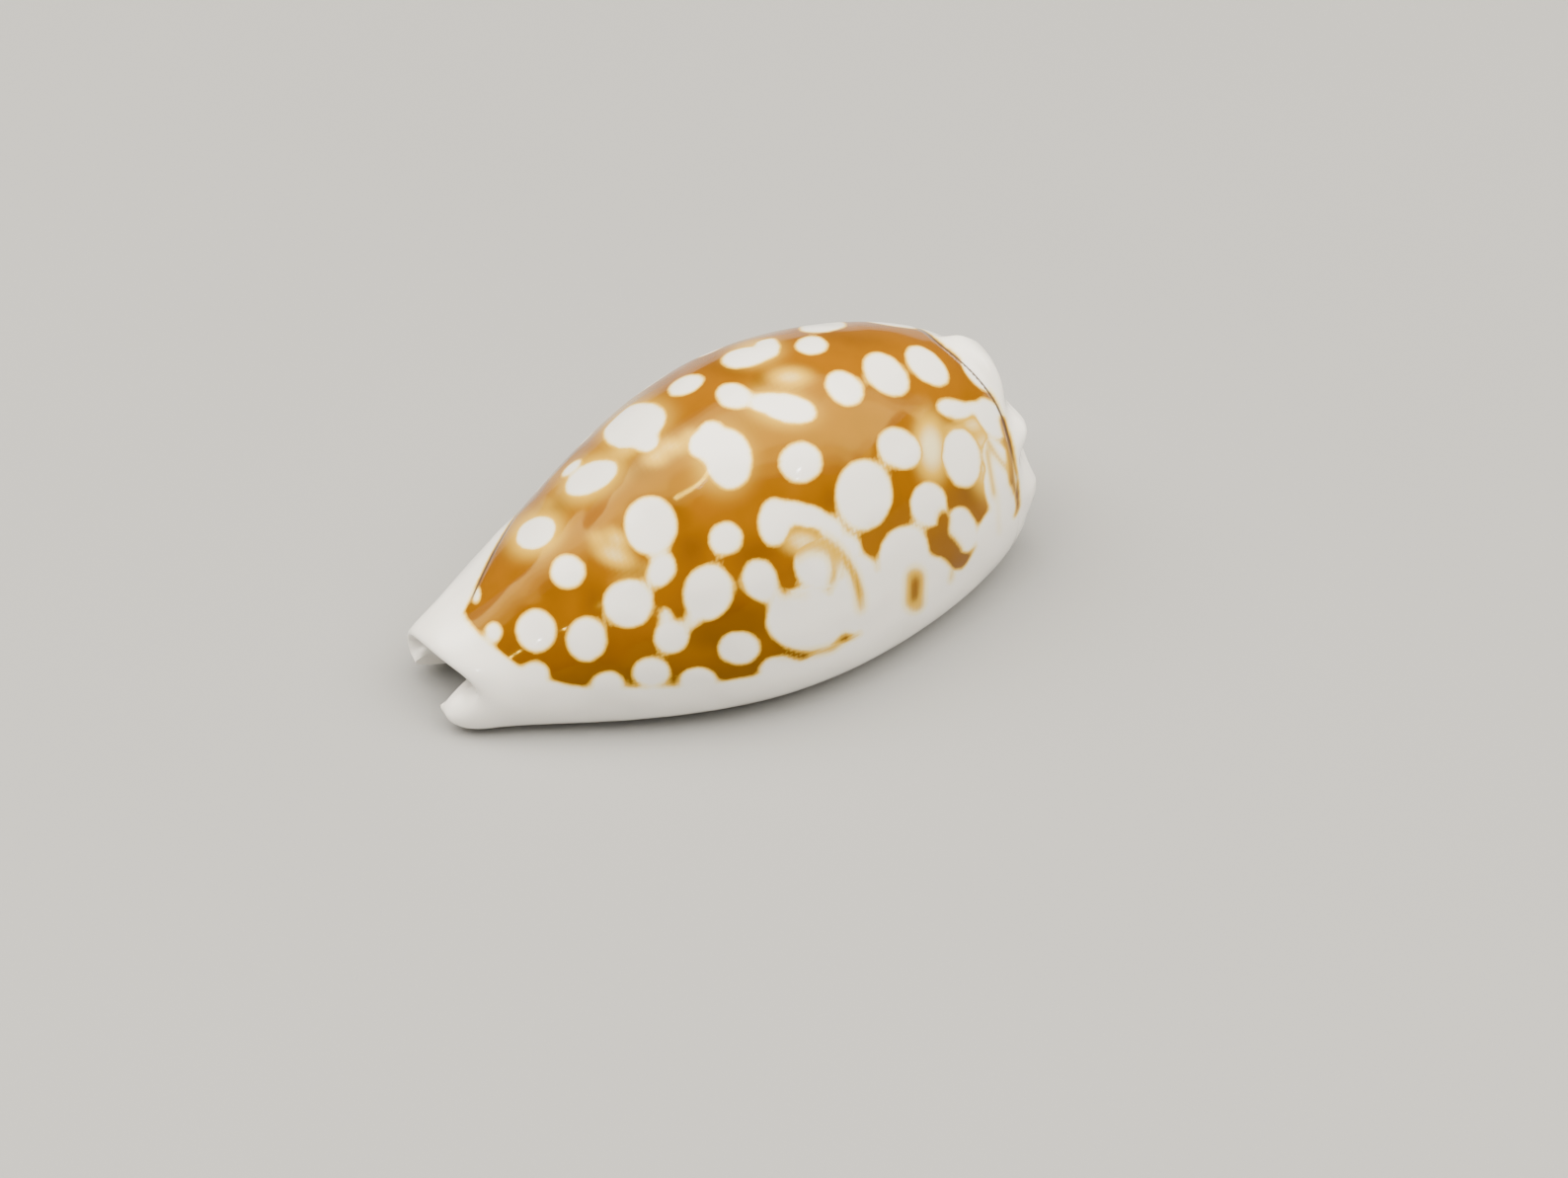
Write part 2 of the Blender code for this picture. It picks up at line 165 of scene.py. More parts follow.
# White spots on the side that the photograph shows: centre in pixels across and down, half-width and
# half-height in millimetres as seen, and the turn to the left in degrees.
SPOTS = [
    (833, 331, 0.95, 0.24, 5), (822, 350, 0.67, 0.40, 0), (755, 362, 1.00, 0.42, 10),
    (777, 352, 0.55, 0.48, 0), (695, 390, 0.80, 0.36, 22), (855, 393, 0.88, 0.66, -35),
    (897, 379, 1.10, 0.70, -40), (939, 371, 1.06, 0.58, -42), (988, 379, 0.85, 0.32, -50),
    (743, 401, 0.76, 0.54, -10), (799, 414, 1.18, 0.62, -12), (776, 408, 0.76, 0.45, 0),
    (738, 465, 0.98, 1.26, 8), (713, 451, 0.72, 0.62, 0), (721, 438, 0.62, 0.52, 0),
    (811, 468, 0.92, 0.86, 0), (911, 454, 1.00, 0.80, -35), (875, 501, 1.16, 1.42, 0),
    (974, 464, 0.78, 1.22, 10), (1003, 424, 0.52, 0.92, 30), (966, 414, 0.76, 0.42, -15),
    (984, 413, 0.46, 0.30, 0), (1012, 472, 0.56, 1.20, 22),
    (643, 431, 1.34, 0.82, 25), (654, 447, 0.60, 0.50, 0), (599, 484, 1.18, 0.62, 28),
    (579, 474, 0.56, 0.18, 40), (543, 540, 0.90, 0.64, 30), (659, 532, 1.10, 1.20, 0),
    (670, 577, 0.58, 0.74, -25), (735, 545, 0.74, 0.70, 0), (575, 579, 0.74, 0.74, 0),
    (636, 611, 1.04, 1.00, 0), (717, 600, 1.02, 1.16, -15), (701, 628, 0.36, 0.40, 0),
    (770, 588, 0.74, 0.92, 20), (829, 572, 1.00, 0.96, 0), (784, 529, 0.68, 1.02, 0),
    (811, 521, 1.25, 0.50, -12), (842, 535, 0.66, 0.44, -38), (861, 554, 0.62, 0.44, -50),
    (872, 578, 0.60, 0.70, -60), (816, 627, 1.60, 1.28, 0), (862, 612, 0.90, 1.20, 0),
    (790, 610, 0.50, 0.50, 0), (543, 639, 0.84, 0.88, 0), (594, 647, 0.84, 0.92, 0),
    (680, 645, 0.74, 0.70, 0), (675, 624, 0.30, 0.44, 15), (748, 656, 0.88, 0.70, 0),
    (500, 640, 0.38, 0.46, 0), (483, 603, 0.18, 0.38, -10), (940, 511, 0.76, 0.94, 0),
    (975, 536, 0.60, 0.94, 12), (541, 682, 0.62, 0.52, 0), (615, 694, 0.70, 0.60, 0),
    (660, 681, 0.80, 0.62, 0), (707, 689, 0.80, 0.56, 0), (791, 678, 0.90, 0.56, 0),
    (915, 563, 1.00, 1.30, -20), (900, 615, 1.50, 1.50, 0), (934, 592, 1.40, 1.26, 0),
    (968, 616, 1.80, 1.50, 25), (1000, 572, 1.00, 1.10, 30), (1012, 545, 1.00, 1.20, 20),
    (1012, 500, 0.60, 1.20, 15),
]

# Caramel left between or over the white, in the same pixels: strength, half-width in millimetres and
# the points that the stroke follows.
STROKES = [
    (0.84, 0.26, [(927, 587), (926, 605)]),
    (0.60, 0.46, [(927, 584), (926, 610)]),
    (1.00, 0.22, [(885, 539), (885, 549)]),
    (0.90, 0.10, [(885, 549), (886, 560)]),
    (1.00, 0.27, [(956, 523), (953, 546)]),
    (1.00, 0.22, [(944, 548), (958, 545)]),
    (1.00, 0.34, [(960, 550), (967, 560)]),
    (0.80, 0.08, [(966, 566), (963, 588)]),
    (0.85, 0.13, [(798, 560), (806, 549), (820, 542), (836, 544), (850, 555), (858, 566)]),
    (0.58, 0.36, [(804, 562), (814, 554), (834, 553), (846, 562)]),
    (0.95, 0.17, [(856, 566), (866, 584), (871, 602)]),
    (0.60, 0.24, [(871, 602), (872, 616)]),
    (0.95, 0.12, [(843, 566), (846, 580), (841, 593)]),
    (1.00, 0.22, [(792, 562), (795, 598)]),
    (0.80, 0.08, [(796, 601), (818, 603)]),
    (0.45, 0.14, [(783, 502), (800, 497), (820, 500), (842, 518)]),
    (0.70, 0.20, [(853, 648), (858, 645)]),
    (0.66, 0.18, [(790, 662), (820, 662), (842, 657), (852, 649)]),
    (0.80, 0.10, [(997, 441), (1008, 460), (1022, 478)]),
    (0.70, 0.12, [(999, 455), (1003, 478), (1007, 502)]),
    (1.00, 0.14, [(1015, 424), (1020, 444), (1023, 465), (1025, 490)]),
    (1.00, 0.10, [(1027, 490), (1028, 500)]),
    (0.30, 0.12, [(1010, 500), (1012, 540)]),
]

# Places where the caramel is thin and pale, with a positive strength, or thick and dark, with a
# negative one: centre, half-width, half-height, turn and strength.
PATCHES = [
    (800, 382, 0.90, 0.40, 0, 0.75), (634, 454, 0.90, 0.40, 20, 0.60), (664, 463, 0.60, 0.36, 0, 0.70),
    (622, 562, 0.95, 0.42, -25, 0.80), (607, 546, 0.55, 0.22, -30, 0.70),
    (943, 454, 0.64, 1.25, 5, 1.00), (625, 545, 0.60, 0.30, -35, 0.80),
    (555, 510, 0.50, 0.40, 0, 0.35), (700, 443, 0.50, 0.40, 0, 0.60), (965, 436, 0.70, 0.30, 0, 0.60),
    (985, 430, 0.60, 0.40, 0, 0.80), (655, 575, 0.60, 0.30, -20, 0.35), (640, 590, 0.90, 0.35, 0, 0.40),
    (560, 480, 0.60, 0.40, 40, 0.25), (1000, 466, 0.75, 1.40, 10, 0.95),
    (814, 549, 0.95, 0.50, -12, 0.90), (680, 452, 0.90, 0.34, 0, 0.70),
    (543, 540, 1.15, 0.86, 30, 0.80), (599, 484, 1.45, 0.86, 28, 0.75), (643, 431, 1.55, 1.02, 25, 0.60),
    (732, 466, 1.25, 1.45, 8, 0.55), (790, 412, 1.50, 0.80, -12, 0.60), (765, 357, 1.20, 0.62, 8, 0.55),
    (565, 511, 0.70, 0.40, 30, -1.00), (742, 376, 0.90, 0.34, -10, -0.90), (768, 385, 0.40, 0.50, 0, -0.90),
    (645, 478, 0.60, 0.40, 0, -0.60), (700, 555, 0.60, 0.60, 0, -0.80), (642, 577, 0.70, 0.26, 0, -0.80),
    (600, 610, 0.60, 1.20, 0, -0.80), (760, 630, 2.00, 1.00, -10, -1.00), (720, 640, 1.40, 1.00, 0, -1.00),
    (600, 675, 2.20, 0.50, 0, -0.90), (560, 600, 0.70, 0.90, 0, -0.70), (980, 498, 0.60, 0.60, 0, -0.80),
    (760, 565, 0.80, 0.70, 0, -0.60), (957, 549, 0.80, 0.60, 0, -0.30), (870, 344, 1.60, 0.30, -10, -0.60),
    (840, 505, 0.40, 0.50, 0, -0.50), (910, 405, 1.00, 0.20, -20, -0.30), (1028, 496, 0.30, 0.50, 0, -1.00),
    (690, 520, 0.40, 0.80, 20, -0.40), (1024, 450, 0.20, 1.60, 0, -0.60),
]

# How high the white margin reaches on the columellar side, in steps from the front to the rear, how
# steeply it ends past the middle of the ends, and how softly it joins the callus.
MARGIN_TOP = MM * np.array([4.4, 4.4, 4.1, 2.95, 2.75, 2.68, 2.95, 3.1, 3.2, 3.45, 3.6, 3.7, 3.8])
MARGIN_STEEP = 30.0
MARGIN_BLEND = 0.5 * MM

# The side that the photograph doesn't show: how many spots to try, their sizes, their spacing, how
# uneven and how long they are, how far they stay from the margin and from the spots seen, and from
# how far the shell has turned away they start.
FAR_SEED = 11
FAR_TRIES = 2600
FAR_RADIUS = (0.42 * MM, 1.1 * MM)
FAR_GAP = 0.30 * MM
FAR_UNEVEN = (0.85, 1.1)
FAR_STRETCH = 0.2
FAR_FROM_MARGIN = 0.25 * MM
FAR_OVER_MARGIN = 0.5
FAR_FROM_SEEN = 2.0
FAR_FACING = {"starts": 0.12, "free": -0.05}

# How the marks lie on the surface: how far a point may turn away and still be seen, how much a slanting
# mark is narrowed at most, how far from its middle each mark reaches, and how softly it ends.
SEEN_FACING = 0.05
HIDDEN_MISS = 1000.0
SLANT_LIMIT = 0.09
SPOT_REACH = {"share": 1.25, "more": 0.3 * MM}
PATCH_REACH = 2.2
STROKE_REACH = 3.5 * MM
STROKE_RIM = 0.36 * MM
MARK_FADE = 0.5 * MM
FACING_RUN = 0.2

# How the white places join and how far they are drawn in, in millimetres. The inside of the shell is
# white from the lips inward. The brown layer is thick low on the sides.
NO_SPOT = 20.0 * MM
SPOT_BLEND = 0.12 * MM
WHITE_BLEND = 0.2 * MM
SPOT_TRIM = 0.08
WHITE_INSIDE = -1.0 * MM
LIP_STEPS = 1.5
LOW_THICK = {"top": 6.0 * MM, "run": 4.0 * MM}

# How often the pattern is evened out over the neighbouring points of the mesh.
SMOOTH_PASSES = 1

# The enamel's noise: the size of its features and how far, in millimetres, it moves the edge of the
# white, where it makes the brown layer thicker, and the slow waves of the surface.
RAGGED = (0.45 * MM, 0.10)
DRIFT = (1.6 * MM, 0.14)
MOTTLE = {"size": 2.2 * MM, "detail": 3.0, "from": 0.35, "to": 0.7, "share": 0.35}
WAVE = {"size": 2.4 * MM, "detail": 1.0}

# Where one colour of the enamel passes into the next: in shares of the spots' softness outside the
# edge of the white, or by how thin the brown layer is. A stroke counts as a place outside the edge.
WHITE_TO_CREAM = (-1.4, -0.1)
CREAM_TO_GOLDEN = (-0.5, 0.35)
GOLDEN_TO_BROWN = (0.2, 1.0)
THIN_TO_GOLDEN = (0.05, 0.6)
THIN_TO_CREAM = (0.45, 1.0)
STROKE_GAIN = 3.0
STROKE_START = 1.5

# The dark line painted along the thin groove: how far outside the callus it lies, the half-widths of
# its dark middle and of its rim, in millimetres, and its strength.
GROOVE_DARKENING = {"outside": 0.05, "middle": 0.03, "rim": 0.09, "strength": 0.95}

# The enamel's gloss takes the warmth of the brown layer under it, within a run in millimetres at the
# edge of the white.
GLOSS_OVER_WHITE = (1.0, 1.0, 1.0)
GLOSS_OVER_BROWN = (1.0, 0.66, 0.05)
GLOSS_RUN = (-0.1, 0.1)
GLAZE = {"IOR": 1.44, "Coat Weight": 0.06, "Coat Roughness": 0.015, "Subsurface Weight": 0.05,
         "Subsurface Radius": (1.0, 0.6, 0.35), "Subsurface Scale": 0.7 * MM}

# The dull floor with its faint unevenness, the colour of the light from all round, and the near and
# far limits of the camera.
FLOOR_ROUGHNESS = 0.6
FLOOR_UNEVEN = {"size": 0.02, "darker": 0.95}
SKY_COLOUR = (1.0, 0.98, 0.96)
CAMERA_CLIP = (0.002, 10.0)

# The overhead softbox is built up of strips one above the other, so that its light fades out towards
# its long edges.
SOFTBOX_HEIGHT = 0.5
SOFTBOX_GAP = 0.004
SOFTBOX_LENGTH = 1.5
SOFTBOX_WIDTHS = (0.26, 0.44, 0.62)
SOFTBOX_TURN = math.radians(-38.0)
SOFTBOX_TOWARDS = (0.0, 0.02, 1.0)
SOFTBOX_COLOUR = (1.0, 0.94, 0.83)

# The lamp that makes the brightest glint, and the small windows that glint on the near side.
LAMP_TOWARDS = (-0.48, -0.12, 0.87)
LAMP_SIZE = (0.03, 0.03)
LAMP_DISTANCE = 0.45
WINDOW_SIZE = (0.02, 0.014)
WINDOW_DISTANCE = 0.6
WINDOWS = [(-0.73, -0.50, 0.45), (0.12, -0.67, 0.73)]


class CowrieForm(bpy.types.PropertyGroup):
    """Sizes of the shell's relief."""
    tooth_height: FloatProperty(
        name="Tooth height", description="How far the teeth stand out of the lips",
        default=0.2 * MM, min=0.0, unit="LENGTH", precision=5)
    callus_share: FloatProperty(
        name="Callus", description="How far the marginal callus swells out, as a share of its full swell",
        default=1.0, min=0.0, max=1.5, subtype="FACTOR")
    groove_depth: FloatProperty(
        name="Groove depth", description="Depth of the thin groove above the callus",
        default=0.06 * MM, min=0.0, unit="LENGTH", precision=5)
    groove_width: FloatProperty(
        name="Groove width", description="Half the width of the thin groove above the callus",
        default=0.09 * MM, min=0.0, unit="LENGTH", precision=5)
    wave_height: FloatProperty(
        name="Waviness", description="Height of the slow waves in the glossy surface",
        default=0.2 * MM, min=0.0, unit="LENGTH", precision=6)


class CowrieEnamel(bpy.types.PropertyGroup):
    """Colours and gloss of the enamel."""
    caramel: FloatVectorProperty(
        name="Caramel", description="Colour of the back", default=(0.23, 0.082, 0.0),
        size=3, min=0.0, max=1.0, subtype="COLOR")
    deep: FloatVectorProperty(
        name="Deep caramel", description="Colour where the brown layer is thick",
        default=(0.15, 0.054, 0.0), size=3, min=0.0, max=1.0, subtype="COLOR")
    golden: FloatVectorProperty(
        name="Golden", description="Colour of the rims of the spots, where the brown layer runs out",
        default=(0.64, 0.375, 0.03), size=3, min=0.0, max=1.0, subtype="COLOR")
    cream: FloatVectorProperty(
        name="Cream", description="Colour of thin, pale places", default=(0.88, 0.76, 0.42),
        size=3, min=0.0, max=1.0, subtype="COLOR")
    white: FloatVectorProperty(
        name="White", description="Colour of the spots, margins and base",
        default=(0.90, 0.87, 0.81), size=3, min=0.0, max=1.0, subtype="COLOR")
    # The colour that is painted along the thin groove to darken it.
    darkening: FloatVectorProperty(
        name="Groove stain", description="Colour of the thin groove above the callus",
        default=(0.09, 0.055, 0.035), size=3, min=0.0, max=1.0, subtype="COLOR")
    softness: FloatProperty(
        name="Spot softness", description="Half the width of the soft rim of a spot",
        default=0.12 * MM, min=0.0, unit="LENGTH", precision=5)
    roughness: FloatProperty(
        name="Roughness", description="Roughness of the enamel", default=0.09, min=0.0, max=1.0,
        subtype="FACTOR")


class CowrieStage(bpy.types.PropertyGroup):
    """Floor and lights."""
    floor: FloatVectorProperty(
        name="Floor", description="Colour of the floor", default=(0.30, 0.30, 0.295),
        size=3, min=0.0, max=1.0, subtype="COLOR")
    floor_size: FloatProperty(
        name="Floor size", description="Side of the square floor", default=3.0, min=0.1, unit="LENGTH")
    sky: FloatProperty(
        name="Surrounding light", description="Strength of the plain light from all round",
        default=0.18, min=0.0)
    strip_power: FloatProperty(
        name="Overhead softbox", description="Power of the long softbox overhead", default=21.0, min=0.0,
        unit="POWER")
    window_power: FloatProperty(
        name="Windows", description="Power of each of the small bright windows", default=0.14, min=0.0,
        unit="POWER")
    lamp_power: FloatProperty(
        name="Lamp", description="Power of the small lamp that makes the brightest glint",
        default=0.16, min=0.0, unit="POWER")


def profile(values, t):
    """A natural cubic spline through equally spaced values, read at t from 0 to 1."""
    count = len(values) - 1
    bend = np.zeros(count + 1)
    matrix = 4.0 * np.eye(count - 1) + np.eye(count - 1, k=1) + np.eye(count - 1, k=-1)
    bend[1:-1] = np.linalg.solve(matrix, 6.0 * np.diff(values, 2))
    place = np.clip(t, 0.0, 1.0) * count
    step = np.minimum(np.floor(place).astype(int), count - 1)
    f = place - step
    g = 1.0 - f
    line = g * values[step] + f * values[step + 1]
    return line + ((g ** 3 - g) * bend[step] + (f ** 3 - f) * bend[step + 1]) / 6.0


def smooth_step(t):
    """0 below 0, 1 above 1, with level ends."""
    t = np.clip(t, 0.0, 1.0)
    return t * t * (3.0 - 2.0 * t)


def smooth_max(a, b, reach):
    """The greater of two values, rounded where they are within reach of each other."""
    mix = np.clip(0.5 + 0.5 * (a - b) / reach, 0.0, 1.0)
    return b * (1.0 - mix) + a * mix + reach * mix * (1.0 - mix)


def smooth_min(a, b, reach):
    """The lesser of two values, rounded where they are within reach of each other."""
    return -smooth_max(-a, -b, reach)


def station(points):
    """The station of each point, from 0 at the front tip to 1 at the rear tip."""
    return np.arccos(np.clip(-points[..., 0] / HALF_LENGTH, -1.0, 1.0)) / math.pi


def outer_side(side, lip, width, margin, base, back):
    """Nine outside points of a section, from the lip's inner face to beside the crest."""
    edge = side * width
    run = edge - lip
    rise = back - margin
    step = side * min(LIP_STEP, LIP_STEP_SHARE * abs(run))
    points = [(lip, base + LIP_FACE), (lip, base), (lip + step, base)]
    points += [(lip + share * run, base) for share in BASE_SHARES]
    (low_out, low_up), (high_out, high_up) = MARGIN_SHARES
    points.append((low_out * edge, base + low_up * (margin - base)))
    points.append((high_out * edge, margin + high_up * rise))
    for angle in ARCH_ANGLES:
        points.append((FULLNESS * math.cos(angle) * edge, margin + FULLNESS * math.sin(angle) * rise))
    return points


def inner_side(side, lip, width, floor, crest, open_share, base, middle):
    """Eight points of the chamber wall, from the lip's inner face to beside the crest."""
    run = middle + side * width - lip
    rise = crest - floor
    face = base + LIP_FACE
    points = [(lip, face + FACE_SHARE * (floor - face)), (lip + side * open_share * CHAMBER_CORNER, floor)]
    points += [(lip + out * run, floor + up * rise) for out, up in FLOOR_SHARES]
    points += [(middle + out * side * width, floor + up * rise) for out, up in WALL_SHARES]
    return points


def section(psi):
    """One C-shaped section of the cage at a station angle, as CAGE_POINTS rows of y and z."""
    t = psi / math.pi
    width = profile(HALF_WIDTH, t)
    back = profile(BACK_HEIGHT, t)
    margin = profile(MARGIN_HEIGHT, t)
    base = max(profile(BASE_HEIGHT, t), 0.0)
    middle = profile(APERTURE_Y, t)
    gap = profile(HALF_APERTURE, t)
    floor = base + profile(LIP_DEPTH, t)
    crest = profile(CHAMBER_HEIGHT, t)
    chamber = max(width - profile(WALL_SIDE, t), CANAL_SHARE * gap)
    open_share = float(np.clip((chamber - gap) / CHAMBER_OPENS, 0.0, 1.0))
    chamber_middle = middle * (1.0 - open_share)
    points = np.zeros((CAGE_POINTS, 2))
    for side in (-1, 1):
        lip = middle + side * gap
        outside = outer_side(side, lip, width, margin, base, back)
        inside = inner_side(side, lip, chamber, floor, crest, open_share, base, chamber_middle)
        for step, point in enumerate(outside):
            points[step if side < 0 else HALF - step] = point
        for step, point in enumerate(inside, 1):
            points[-step if side < 0 else HALF + step] = point
    points[CREST] = (0.0, margin + FULLNESS * (back - margin))
    points[HALF + CREST] = (chamber_middle, floor + CREST_FULLNESS * (crest - floor))
    return points


def roof_share(shares):
    """How much each point of a section belongs to the roof of an end canal, from 0 to 1."""
    index = np.arange(CAGE_POINTS)
    return np.interp(np.minimum(index, CAGE_POINTS - index), list(shares), list(shares.values()))


def labral_share():
    """For each cage point 0 on the columellar side, 1 on the outer lip's side, blended at the crest."""
    index = np.arange(CAGE_POINTS)
    return smooth_step(2.0 * np.minimum(index, CAGE_POINTS - index) / HALF - 0.5)


def full_row(psi):
    """One full row of the cage, whose roof stands back from its legs near the rims."""
    front_roof = roof_share(FRONT_ROOF)
    rear_roof = roof_share(REAR_ROOF)
    labral = labral_share()
    row = np.zeros((CAGE_POINTS, 3))
    for index in range(CAGE_POINTS):
        x = -HALF_LENGTH * math.cos(psi)
        front = 1.0 - smooth_step((x + HALF_LENGTH) / FRONT_FADE)
        rear = 1.0 - smooth_step((HALF_LENGTH - x) / REAR_FADE)
        x += FRONT_NOTCH * front_roof[index] * front - REAR_NOTCH * rear_roof[index] * rear
        row[index, 0] = x
        row[index, 1:] = section(math.acos(-x / HALF_LENGTH))[index]
        under = 1.0 - smooth_step(row[index, 2] / BACK_HEIGHT[0])
        lift = FRONT_LIFT["columellar"] + labral[index] * (FRONT_LIFT["labral"] - FRONT_LIFT["columellar"])
        row[index, 2] += lift * front * under
    return row


def rim_row(row, reach, way):
    """The middle line of a rim: halfway between outside and inside, pushed out by its reach."""
    pair = (-np.arange(CAGE_POINTS)) % CAGE_POINTS
    rim = 0.5 * (row + row[pair])
    rim[:, 0] += way * (reach["columellar"] + labral_share() * (reach["labral"] - reach["columellar"]))
    return rim


def cage_rows():
    """All rows of the cage, with a mirrored row past each rim that rounds it."""
    pair = (-np.arange(CAGE_POINTS)) % CAGE_POINTS
    rows = [full_row(psi) for psi in np.linspace(FRONT_ANGLE, math.pi - REAR_ANGLE, CAGE_ROWS)]
    front = rim_row(rows[0], FRONT_REACH, -1.0)
    rear = rim_row(rows[-1], REAR_REACH, 1.0)
    return np.array([rows[0][pair], front, *rows, rear, rows[-1][pair]])


def blend_weights(f):
    """The four weights of the uniform cubic B-spline at the fraction f of a step."""
    g = 1.0 - f
    return np.stack([g ** 3, 3.0 * f ** 3 - 6.0 * f ** 2 + 4.0,
                     3.0 * g ** 3 - 6.0 * g ** 2 + 4.0, f ** 3], -1) / 6.0


def cage_surface(cage, along, around):
    """The smooth surface of the cage at the given places along and around it."""
    last = len(cage) - 4
    row = np.minimum(np.floor(along).astype(int), last)
    row_weights = blend_weights(along - row)
    strips = sum(row_weights[:, k, None, None] * cage[row + k] for k in range(4))
    column = np.floor(around).astype(int)
    column_weights = blend_weights(around - column)
    picked = [strips[:, (column + k - 1) % CAGE_POINTS] for k in range(4)]
    return sum(column_weights[None, :, k, None] * picked[k] for k in range(4))


def surface_normals(points):
    """Unit normals of the grid of points, pointing out of the shell's wall."""
    along = np.gradient(points, axis=0)
    wrapped = np.concatenate([points[:, -2:-1], points, points[:, 1:2]], axis=1)
    around = 0.5 * (wrapped[:, 2:] - wrapped[:, :-2])
    normal = np.cross(along, around)
    return normal / np.linalg.norm(normal, axis=-1, keepdims=True)


def rear_collar(points):
    """How far each point lies behind the rear collar's edge, which runs forward over the back."""
    y = points[..., 1]
    step = REAR_COLLAR_STEP
    edge = REAR_COLLAR_X - step["depth"] * smooth_step((y - step["from_y"]) / step["run"])
    edge = edge - REAR_COLLAR_TURN["slope"] * np.maximum(y - REAR_COLLAR_TURN["from_y"], 0.0)
    return points[..., 0] - edge


def front_collar(points):
    """How far each point lies in front of the front collar's edge."""
    return FRONT_COLLAR_X + FRONT_COLLAR_SLOPE * np.maximum(points[..., 1], 0.0) - points[..., 0]


def callus_reach(points, around):
    """How deep each point lies inside the callus, negative outside it."""
    labral = smooth_step(around - CREST)
    side = profile(CALLUS_TOP, station(points)) - points[..., 2] - COLUMELLAR_DROP * (1.0 - labral)
    reach = smooth_max(side, rear_collar(points), COLLAR_BLEND["rear"])
    return smooth_max(reach, front_collar(points), COLLAR_BLEND["front"])


def callus_relief(points, around):
    """Outward push of the callus."""
    reach = callus_reach(points, around)
    start = CALLUS_FROM_CREST
    labral = smooth_step((around - CREST - start["from"]) / start["run"])
    band = smooth_step(reach / CALLUS_RISE) * (1.0 - smooth_step((reach - CALLUS_BAND) / CALLUS_FADE))
    side = profile(CALLUS_SWELL, station(points)) * labral * band
    low = COLLAR_HEIGHTS["lowest"]
    climb = (points[..., 2] - low) / (COLLAR_HEIGHTS["highest"] - low)
    collar = profile(COLLAR_SWELL, climb) * smooth_step(rear_collar(points) / CALLUS_RISE)
    end = REAR_COLLAR_END
    collar = collar * (1.0 - smooth_step((end["y"] - points[..., 1]) / end["run"]))
    collar = collar * smooth_step((points[..., 2] - end["z"]) / end["run"])
    fade = REAR_COLLAR_FADE
    collar = collar * (1.0 - smooth_step((points[..., 1] - fade["from_y"]) / fade["run"]))
    outside = smooth_step(around - BASE_STEPS) * smooth_step(HALF - BASE_STEPS - around)
    return outside * np.where(collar > 0.0, np.maximum(side, collar), side + collar)


def tooth_relief(points, around, height):
    """Ridges across both lips, which fade out on the base and inside the aperture."""
    from_lip = np.minimum(around, CAGE_POINTS - around)
    lip_distance = np.minimum(from_lip, HALF - from_lip)
    reach = np.where(around > HALF, 1.0 - smooth_step(lip_distance / TOOTH_REACH_IN),
                     1.0 - smooth_step((lip_distance - TOOTH_REACH_OUT) / TOOTH_RUN_OUT))
    half_step = np.where(from_lip > CREST, 0.5, 0.0)
    x = points[..., 0]
    wave = 0.5 + 0.5 * np.cos(2.0 * math.pi * (x / TOOTH_PITCH + half_step))
    along = 1.0 - smooth_step((np.abs(x) - TOOTH_SPAN) / TOOTH_FADE)
    return height * reach * along * (wave - 1.0)


def groove_relief(points, around, depth, width):
    """The thin groove just outside the edge of the callus."""
    reach = callus_reach(points, around)
    return -depth * np.exp(-((reach + width) / width) ** 2) * groove_share(points, around)


def groove_share(points, around):
    """Where the groove is: along the outer lip's side and round the rear, 0 elsewhere."""
    start = BASE_STEPS + GROOVE_FROM_BASE
    outside = smooth_step(around - start) * smooth_step(HALF - start - around)
    front = smooth_step((points[..., 1] - GROOVE_FRONT["y"]) / GROOVE_FRONT["run"])
    rear = smooth_step((points[..., 1] - REAR_COLLAR_END["y"]) / REAR_COLLAR_END["run"] + 1.0)
    return outside * np.where(points[..., 0] < 0.0, front, rear)


def places_around():
    """Places around a section, closest over the back, from the columellar lip and back to it."""
    runs = [np.linspace(start, end, count, endpoint=False) for start, end, count in COLUMN_RUNS]
    outside = np.concatenate([*runs, [HALF]])
    return np.concatenate([outside, CAGE_POINTS - outside[-2::-1]])


def shell_grid(form):
    """The shell's fine grid: its points, their places around and their reach into the callus."""
    cage = cage_rows()
    along = np.linspace(0.0, len(cage) - 3.0, MESH_ROWS)
    around = places_around()
    points = cage_surface(cage, along, around)
    relief = (form.callus_share * callus_relief(points, around)
              + tooth_relief(points, around, form.tooth_height)
              + groove_relief(points, around, form.groove_depth, form.groove_width))
    from_rim = np.minimum(along, len(cage) - 3.0 - along)
    relief *= smooth_step(from_rim / RELIEF_FADE)[:, None]
    reach = callus_reach(points, around)
    points = points + surface_normals(points) * relief[..., None]
    points[..., 2] = np.maximum(points[..., 2], 0.0)
    middle = 0.5 * (points.min(axis=(0, 1)) + points.max(axis=(0, 1)))
    return points - middle * np.array([1.0, 1.0, 0.0]), around, reach


def camera_axes():
    """The camera's right, up and backward directions."""
    a = CAMERA_AZIMUTH
    e = CAMERA_ELEVATION
    right = np.array([math.cos(a), math.sin(a), 0.0])
    up = np.array([-math.sin(a) * math.sin(e), math.cos(a) * math.sin(e), math.cos(e)])
    back = np.array([math.sin(a) * math.cos(e), -math.cos(a) * math.cos(e), math.sin(e)])
    return right, up, back


